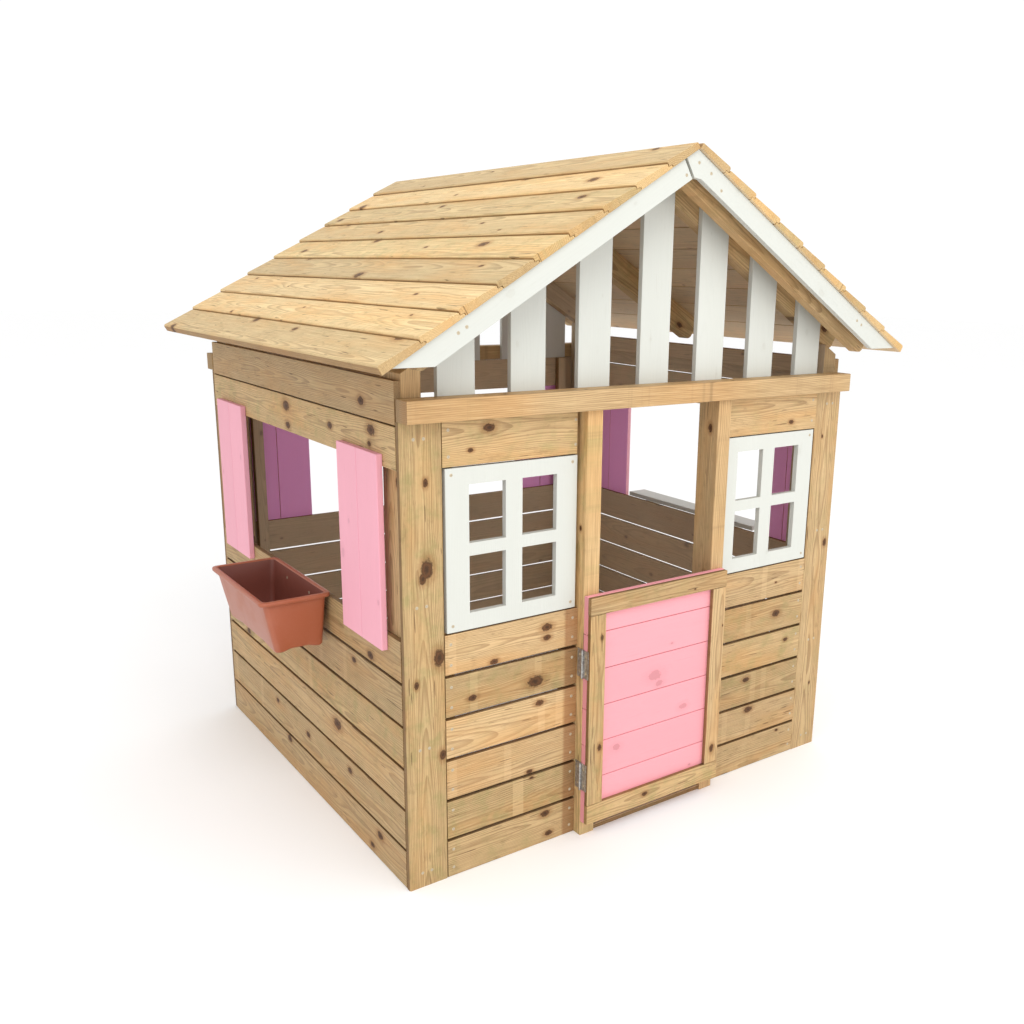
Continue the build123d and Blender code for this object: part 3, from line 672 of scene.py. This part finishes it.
def dress(
    node,
    kind,
    knot_size=0.0065,
    knot_spacing=0.34,
    wander=WANDER,
    placed=(),
    marked=0.0,
    jamb_shade=0.0,
    tone=1.0,
    end_shade=1.0,
    indoor_light_share=1.0,
    softness=EDGE_SOFTNESS,
):
    """Replaces a CAD node with the same boards, softened, a little uneven, with their own figure.

    kind: which way the boards lie, as in axes_for.
    placed: listed knots, (along, across, radius) in the row frame, on the board they fall on.
    marked: how strong the pale sticker marks may be.
    jamb_shade: how strong the painted shade at a board's far end, next to the door jamb, is.
    tone: the wood's brightness.
    end_shade: how dark the sawn ends are, usually 1.
    indoor_light_share: how strongly the faces that look into the room take their painted indoor
    lighting.
    """
    dice = random.Random(f"{SEED} {node}")
    work = welded(node)
    sloped = kind == "slope"
    lengthwise = BACK if sloped else axes_for(kind, Vector())[0]
    soften(work, lengthwise, softness)
    if not sloped:
        cut_across(work, lengthwise)
    names = ["grain", "board", "pith", "marks", "finish"]
    names += [f"knot{index}" for index in range(KNOTS_PER_BOARD)]
    layers = {name: work.verts.layers.float_vector.new(name) for name in names}
    cut = work.faces.layers.float.new("cut")
    inner = work.faces.layers.float.new("inner")
    natural = SLOT_OF[node] in ("treated_wood", "roof_wood")
    for members in islands(work):
        axes, low, high = board_frame(members, kind)
        middle = [(a + b) / 2 for a, b in zip(low, high)]
        half = [(b - a) / 2 for a, b in zip(low, high)]
        board = (dice.random(), dice.random(), dice.random())
        pith_through = dice.choice((-1, 1)) * dice.uniform(*PITH_DEPTH)
        pith_across = dice.uniform(-0.7, 0.7) * half[1]
        pith = (pith_across, pith_through, RING_WIDTH * dice.uniform(0.75, 1.3))
        knots = draw_knots(dice, half, knot_size, knot_spacing)
        knots = (knots_on(placed, low, high) or knots) + [NO_KNOT] * KNOTS_PER_BOARD
        seed = dice.uniform(0, 500)
        marks = (
            dice.uniform(-1, 1) * half[0], dice.uniform(-1, 1) * half[0], marked * dice.random()
        )
        faces = {face for vertex in members for face in vertex.link_faces}
        # Thin natural boards get painted shade on their edges in the gaps between them.
        gap_shade = GAP_SHADE if natural and half[2] < THIN_HALF else 0.0
        shade_faces(faces, axes, cut, inner, end_shade, gap_shade, indoor_light_share)
        # The board's half length, the strength of its painted shade beside the door jamb, and its
        # tone.
        finish = (half[0], jamb_shade, tone)
        figure = {"board": board, "pith": pith, "marks": marks, "finish": finish}
        figure |= {f"knot{index}": knots[index] for index in range(KNOTS_PER_BOARD)}
        for vertex in members:
            u, v, w = (vertex.co.dot(axis) - centre for axis, centre in zip(axes, middle))
            vertex[layers["grain"]] = (u, v, w)
            for name, value in figure.items():
                vertex[layers[name]] = value
            drift = edge_drift(u, 1 if v > 0 else -1, seed)
            vertex.co -= axes[1] * (v / half[1]) * drift * wander
    mesh = finished_mesh(f"{node}_boards", work, 40)
    slot = SLOT_OF[node]
    body = frame["nodes"][node]["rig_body"]
    piece = new_object(f"{node}_boards", mesh, body, MATERIALS[slot])
    normals = piece.modifiers.new("normals", "WEIGHTED_NORMAL")
    normals.keep_sharp = True
    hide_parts(node)


# The larger knots, each as (along, across, radius) on the board it falls on.
POST_KNOTS = (
    (0.91, -0.56, 0.005), (0.73, -0.56, 0.012), (0.71, -0.57, 0.007), (0.53, -0.535, 0.011),
    (0.48, -0.59, 0.005), (0.305, -0.53, 0.007), (0.04, -0.56, 0.006),
)
FRONT_KNOTS = (
    (-0.26, 0.545, 0.008), (-0.26, 0.52, 0.006), (-0.40, 0.492, 0.006), (-0.29, 0.42, 0.012),
    (-0.455, 0.42, 0.006), (-0.26, 0.075, 0.007), (-0.25, 0.02, 0.006),
)
UPPER_FRONT_KNOTS = ((-0.455, 0.968, 0.004), (-0.41, 1.012, 0.008))
LEFT_KNOTS = (
    (-0.425, 0.50, 0.008), (0.415, 0.30, 0.008), (-0.22, 0.255, 0.012), (-0.445, 0.065, 0.008),
    (-0.40, 0.02, 0.006), (0.12, 0.08, 0.008), (-0.285, 0.16, 0.007), (-0.02, 0.147, 0.007),
    (0.20, 0.163, 0.006),
)
UPPER_LEFT_KNOTS = (
    (0.016, 1.00, 0.011), (0.01, 0.953, 0.008), (-0.25, 0.987, 0.007), (-0.42, 1.06, 0.008),
    (-0.465, 1.005, 0.010), (-0.455, 0.975, 0.005),
)
DOOR_KNOTS = (
    (0.035, 0.374, 0.013), (0.05, 0.35, 0.008), (0.132, 0.268, 0.008), (-0.08, 0.214, 0.008),
)

CORNERS = ("front_left", "front_right", "rear_left", "rear_right")

dress("corner_post_front_left", "z", placed=POST_KNOTS, tone=0.84)
for name in CORNERS[1:]:
    dress(f"corner_post_{name}", "z", 0.008, tone=0.95)
for name in CORNERS:
    dress(f"corner_stud_{name}", "z", 0.009)
dress("left_wall_lower_boards", "y", placed=LEFT_KNOTS, marked=0.5)
dress("left_wall_upper_boards", "y", placed=UPPER_LEFT_KNOTS)
for name in (
    "right_wall_lower_boards",
    "right_wall_upper_boards",
    "wall_plates",
    "ridge_board",
    "side_shelf",
):
    dress(name, "y")
# The left front boards carry painted shade at their ends beside the door jamb.
dress("front_lower_boards_left", "x", placed=FRONT_KNOTS, marked=1.0, jamb_shade=1.0)
dress("front_lower_boards_right", "x", marked=0.9, tone=0.93)
dress("front_upper_boards", "x", placed=UPPER_FRONT_KNOTS)
for name in (
    "rear_lower_boards",
    "rear_upper_board",
    "front_beam",
    "rear_beam",
    "threshold",
    "door_top_rail",
    "door_bottom_rail",
):
    dress(name, "x", 0.005)
for name in ("wall_battens", "door_stile_left", "door_stile_right"):
    dress(name, "z", 0.005)
dress("door_jamb_left", "z", 0.005, tone=1.18, indoor_light_share=0.0)
dress("door_jamb_right", "z", 0.005, tone=1.12, indoor_light_share=0.0)
dress("door_boards", "x", 0.006, wander=0.0002, placed=DOOR_KNOTS)
for name in ("left", "right"):
    dress(f"window_{name}", "z", 0.006, wander=0.0)
for name in ("front", "rear"):
    dress(f"gable_slats_{name}", "z", 0.006)
for name in (
    "left_wall_front",
    "left_wall_rear",
    "right_wall_front",
    "right_wall_rear",
    "rear_wall_left",
    "rear_wall_right",
):
    dress(f"shutter_{name}", "z", 0.006, wander=0.0003)
for name in CORNERS:
    dress(f"bargeboard_{name}", "slope")
for name in (
    "fly_rafters_front",
    "fly_rafters_rear",
    "gable_rafters_front",
    "gable_rafters_rear",
    "middle_rafters",
):
    dress(name, "slope")
for name in ("left", "right"):
    dress(
        f"roof_boards_{name}",
        "roof",
        0.008,
        knot_spacing=0.42,
        end_shade=0.85,
        softness=ROOF_SOFTNESS,
    )


# ---- Metal ---------------------------------------------------------------------------------------

HEAD_RINGS, HEAD_SEGMENTS = 7, 28
HEAD_RISE = 0.0008
DOME_FALL, DOME_POWER = 0.85, 2.4
SKIRT_DEPTH = 0.8  # of the rise
RECESS_DEPTH = 0.0011
RECESS_REACH = 0.62  # of the head's radius, as is the next
RECESS_MIDDLE = 0.2
RECESS_ARM = 0.93  # the cosine of half an arm's angle
QUARTER_TURN = 1.57
TURN_SPREAD = (91.7, 57.3)  # turns for each metre across and up, so that no two heads match
HINGE_ROUNDING = 0.0002


def head_height(share, angle):
    """The height of a domed head over its foot, at a share of its radius, less the cross recess."""
    height = HEAD_RISE * (1 - DOME_FALL * share**DOME_POWER)
    arm = max(abs(math.cos(angle)), abs(math.sin(angle)))
    if share < RECESS_REACH and (arm > RECESS_ARM or share < RECESS_MIDDLE):
        height -= RECESS_DEPTH * (1 - share)
    return height


def add_head(made, middle, radius, top, outward):
    """Adds one head to a bmesh, its cross turned by an angle that depends on where it is."""
    side = outward.orthogonal().normalized()
    other = outward.cross(side)
    turn = (middle.x * TURN_SPREAD[0] + middle.z * TURN_SPREAD[1]) % QUARTER_TURN
    rows = []
    for ring in range(HEAD_RINGS + 1):
        share = ring / HEAD_RINGS
        row = []
        for step in range(HEAD_SEGMENTS if ring else 1):
            angle = 2 * math.pi * step / HEAD_SEGMENTS
            spin = angle + turn
            direction = side * math.cos(spin) + other * math.sin(spin)
            rise = outward * (top - HEAD_RISE + head_height(share, angle))
            row.append(made.verts.new(middle + rise + direction * radius * share))
        rows.append(row)
    skirt = [made.verts.new(v.co - outward * HEAD_RISE * SKIRT_DEPTH) for v in rows[-1]]
    rows.append(skirt)
    for step in range(HEAD_SEGMENTS):
        after = (step + 1) % HEAD_SEGMENTS
        made.faces.new((rows[0][0], rows[1][step], rows[1][after]))
        for inside, outside in zip(rows[1:], rows[2:]):
            made.faces.new((inside[step], outside[step], outside[after], inside[after]))
    made.faces.new(list(reversed(skirt)))


def screw_heads(node, outward):
    """Domed cross-recess heads in place of the plain ones, one for each screw of the node."""
    work = welded(node)
    made = bmesh.new()
    for members in islands(work):
        top = max(v.co.dot(outward) for v in members)
        flat = [v.co - outward * v.co.dot(outward) for v in members]
        spans = [[place[axis] for place in flat] for axis in range(3)]
        middle = Vector([(min(span) + max(span)) / 2 for span in spans])
        radius = max((place - middle).length for place in flat)
        add_head(made, middle, radius, top, outward)
    work.free()
    bmesh.ops.recalc_face_normals(made, faces=made.faces)
    mesh = finished_mesh(f"{node}_heads", made, 50)
    body = frame["nodes"][node]["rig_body"]
    piece = new_object(f"{node}_heads", mesh, body, MATERIALS["screw_finish"])
    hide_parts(node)


screw_heads("front_screws", -BACK)
for name in ("planter_screws", "hinge_screws_fixed", "hinge_screws_moving"):
    screw_heads(name, -ACROSS)

for name in ("hinge_leaves_fixed", "hinge_leaves_moving", "hinge_pins"):
    hinge = frame["nodes"][name]
    hinge.data.materials.clear()
    hinge.data.materials.append(MATERIALS["zinc_steel"])
    rounding = hinge.modifiers.new("rounding", "BEVEL")
    rounding.width = HINGE_ROUNDING
    rounding.segments = 2
    rounding.limit_method = "ANGLE"
    rounding.angle_limit = math.radians(40)


# ---- Planter -------------------------------------------------------------------------------------

TUB_WALL, TUB_RIM, TUB_TAPER = 0.003, 0.009, 0.018
TUB_FOOT = 0.0055  # how far the sides arch up between the feet
TUB_CORNER, TUB_TIGHTEST = 0.012, 0.004
CORNER_STEPS, SIDE_STEPS = 8, 12
ARCH_STEEPNESS = 4.5


def rounded_ring(low, high, radius, height, arch):
    """Points of a rounded rectangle at one height, its sides arched up between the corners."""
    points = []
    corners = (
        (high[0], high[1], 0), (low[0], high[1], 90), (low[0], low[1], 180), (high[0], low[1], 270)
    )
    for x, y, start in corners:
        centre_x = x - radius if start in (0, 270) else x + radius
        centre_y = y - radius if start in (0, 90) else y + radius
        for step in range(CORNER_STEPS + 1):
            angle = math.radians(start + 90 * step / CORNER_STEPS)
            x_out, y_out = radius * math.cos(angle), radius * math.sin(angle)
            points.append((centre_x + x_out, centre_y + y_out, height))
    ring = []
    for index, point in enumerate(points):
        ring.append(point)
        if index % (CORNER_STEPS + 1) == CORNER_STEPS:
            after = points[(index + 1) % len(points)]
            for step in range(1, SIDE_STEPS):
                share = step / SIDE_STEPS
                rise = arch * min(1.0, ARCH_STEEPNESS * min(share, 1 - share)) ** 2
                x, y = (a + (b - a) * share for a, b in zip(point[:2], after[:2]))
                ring.append((x, y, height + rise))
    return ring


def tub_outline(low, high):
    """The tub's skin as rings: under its floor, up the outside, over the rim, down the inside."""
    floor_low = (low.x + 2 * TUB_TAPER, low.y + TUB_TAPER)
    floor_high = (high.x - TUB_TAPER, high.y - TUB_TAPER)
    top_low = (low.x + TUB_RIM, low.y + TUB_RIM)
    top_high = (high.x - TUB_RIM, high.y - TUB_RIM)
    tall = high.z - low.z
    halfway = low.z + tall * 0.5
    inner_floor = low.z + TUB_FOOT + TUB_WALL
    rings = (  # share of the way up the taper, inset, height, corner radius, arch
        (0, 0.030, low.z + TUB_FOOT, 0.010, 0.0),
        (0, 0.010, low.z + TUB_FOOT * 0.9, TUB_CORNER, 0.0),
        (0, 0.006, low.z, TUB_CORNER, TUB_FOOT),
        (0, 0.002, low.z + 0.0012, TUB_CORNER, TUB_FOOT),
        (0.01, 0.0, low.z + 0.005, TUB_CORNER, TUB_FOOT),
        (0.5, 0.0, halfway, TUB_CORNER, 0.0),
        (0.88, 0.0, low.z + tall * 0.88, TUB_CORNER, 0.0),
        (0.9, 0.0, high.z - 0.0115, TUB_CORNER, 0.0),
        (0.95, -0.0025, high.z - 0.0098, TUB_CORNER, 0.0),
        (1, -0.0075, high.z - 0.0095, TUB_CORNER, 0.0),
        (1, -0.0088, high.z - 0.0080, TUB_CORNER, 0.0),
        (1, -0.0090, high.z - 0.0025, TUB_CORNER, 0.0),
        (1, -0.0080, high.z - 0.0006, TUB_CORNER, 0.0),
        (1, -0.0060, high.z, TUB_CORNER, 0.0),
        (1, 0.0005, high.z, TUB_CORNER, 0.0),
        (1, 0.0022, high.z - 0.0006, TUB_CORNER, 0.0),
        (1, TUB_WALL, high.z - 0.0025, TUB_CORNER, 0.0),
        (0.5, TUB_WALL, halfway, TUB_CORNER, 0.0),
        (0.08, TUB_WALL, inner_floor + 0.006, TUB_CORNER, 0.0),
        (0.04, TUB_WALL + 0.002, inner_floor + 0.0012, TUB_CORNER, 0.0),
        (0.03, TUB_WALL + 0.006, inner_floor, TUB_CORNER, 0.0),
    )
    outline = []
    for share, inset, height, radius, arch in rings:
        near = [a + (b - a) * share + inset for a, b in zip(floor_low, top_low)]
        far = [a + (b - a) * share - inset for a, b in zip(floor_high, top_high)]
        corner_radius = max(radius - inset * 0.4, TUB_TIGHTEST)
        outline.append(rounded_ring(near, far, corner_radius, height, arch))
    return outline


def planter():
    """The tub as one thin moulded skin: tapering sides, a rolled rim and rounded corners."""
    low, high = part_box("planter")
    work = bmesh.new()
    rows = [[work.verts.new(point) for point in points] for points in tub_outline(low, high)]
    count = len(rows[0])
    for lower, upper in zip(rows, rows[1:]):
        for index in range(count):
            after = (index + 1) % count
            work.faces.new((lower[index], lower[after], upper[after], upper[index]))
    work.faces.new(list(reversed(rows[0])))
    work.faces.new(rows[-1])
    bmesh.ops.remove_doubles(work, verts=work.verts, dist=WELD_DISTANCE)
    bmesh.ops.recalc_face_normals(work, faces=work.faces)
    # Faces inside the tub, under the rim, are marked for the plastic's painted shade.
    inside = work.faces.layers.float.new("inside")
    under_rim, over_base = high.z - 0.004, low.z + TUB_WALL / 2
    for face in work.faces:
        place = face.calc_center_median()
        middle = Vector(((low.x + high.x) / 2, (low.y + high.y) / 2, place.z))
        faces_in = face.normal.dot((middle - place).normalized()) > 0.3
        face[inside] = float(faces_in and over_base < place.z <= under_rim)
    mesh = finished_mesh("planter_tub", work, 60)
    slot = "terracotta_plastic"
    piece = new_object("planter_tub", mesh, "house", MATERIALS[slot])
    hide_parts("planter")


planter()


# ---- Studio --------------------------------------------------------------------------------------

FLOOR_HALF = 30.0
WORLD_STRENGTH = 1.04
AIM = Vector((0.0, 0.0, 0.8))

floor_mesh = bpy.data.meshes.new("floor")
floor_corners = [
    (-FLOOR_HALF, -FLOOR_HALF, 0),
    (FLOOR_HALF, -FLOOR_HALF, 0),
    (FLOOR_HALF, FLOOR_HALF, 0),
    (-FLOOR_HALF, FLOOR_HALF, 0),
]
floor_mesh.from_pydata(floor_corners, [], [(0, 1, 2, 3)])
floor_mesh.materials.append(studio_floor())
floor = bpy.data.objects.new("floor", floor_mesh)
bpy.context.scene.collection.objects.link(floor)

world = bpy.data.worlds.new("studio")
bpy.context.scene.world = world
world.use_nodes = True
background = world.node_tree.nodes["Background"]
background.inputs["Color"].default_value = (1.0, 1.0, 1.0, 1)
background.inputs["Strength"].default_value = WORLD_STRENGTH


def softbox(name, place, size, power):
    """A large square area light aimed at the house."""
    light = bpy.data.lights.new(name, "AREA")
    light.shape = "SQUARE"
    light.size = size
    light.energy = power
    lamp = bpy.data.objects.new(name, light)
    bpy.context.scene.collection.objects.link(lamp)
    lamp.location = place
    lamp.rotation_mode = "QUATERNION"
    lamp.rotation_quaternion = (AIM - place).to_track_quat("-Z", "Y")


softbox("key", Vector((-1.2, -3.8, 4.4)), size=2.4, power=95)
softbox("front_fill", Vector((1.6, -4.6, 1.6)), size=2.6, power=35)

# The photograph's camera, as solved from the edges seen in it.
CAMERA_PLACE = Vector((-1.4823, -2.3720, 1.3247))
TURN, DIP, ROLL = math.radians(36.77), math.radians(14.26), math.radians(1.21)
SENSOR_WIDTH, FOCAL_LENGTH = 36.0, 35.38  # in millimetres
LENS_SHIFT = (-0.0736, 0.0168)

lens = bpy.data.cameras.new("camera")
lens.sensor_width = SENSOR_WIDTH
lens.lens = FOCAL_LENGTH
lens.shift_x, lens.shift_y = LENS_SHIFT
camera = bpy.data.objects.new("camera", lens)
bpy.context.scene.collection.objects.link(camera)
ahead = Vector(
    (math.sin(TURN) * math.cos(DIP), math.cos(TURN) * math.cos(DIP), -math.sin(DIP))
)
level = Vector((math.cos(TURN), -math.sin(TURN), 0))
above = level.cross(ahead)
right = level * math.cos(ROLL) + above * math.sin(ROLL)
upward = above * math.cos(ROLL) - level * math.sin(ROLL)
facing = Matrix((right, upward, -ahead)).transposed().to_4x4()
camera.matrix_world = Matrix.Translation(CAMERA_PLACE) @ facing
bpy.context.scene.camera = camera
